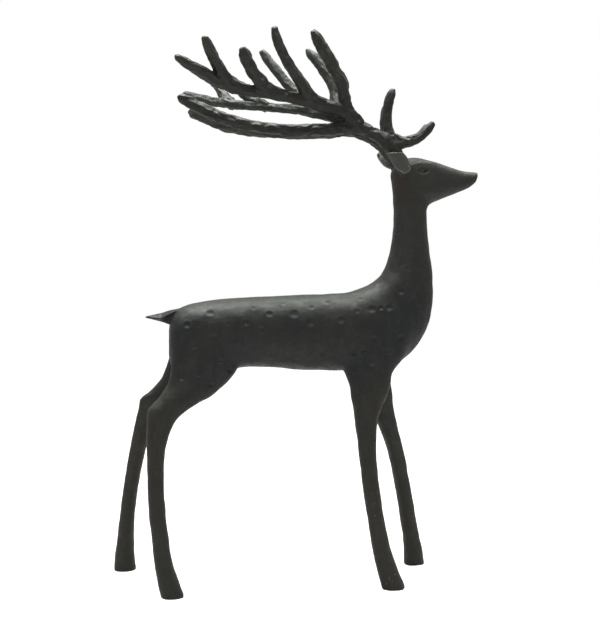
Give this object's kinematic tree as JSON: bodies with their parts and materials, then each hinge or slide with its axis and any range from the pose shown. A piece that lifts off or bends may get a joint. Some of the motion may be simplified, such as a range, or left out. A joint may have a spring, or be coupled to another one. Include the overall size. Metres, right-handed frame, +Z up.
{
  "type": "stag statue",
  "caption": "Slender standing stag figure in dark cast iron with its head raised, small leaf-shaped ears, a pointed tail and swept-back branching antlers.",
  "frame": {"origin": "middle of the statue's box on the surface under its four soles", "axes": "+X the way the stag faces, +Y its left side, +Z up"},
  "size_m": [0.3212, 0.1475, 0.4704],
  "materials": {
    "body_iron": "satin green-black painted casting with small hammered dents",
    "antler_iron": "glossier blue-black casting with lengthwise ridges"
  },
  "bodies": {
    "root": {"body": "body_iron", "antler_right": "antler_iron", "antler_left": "antler_iron"}
  },
  "joints": []
}
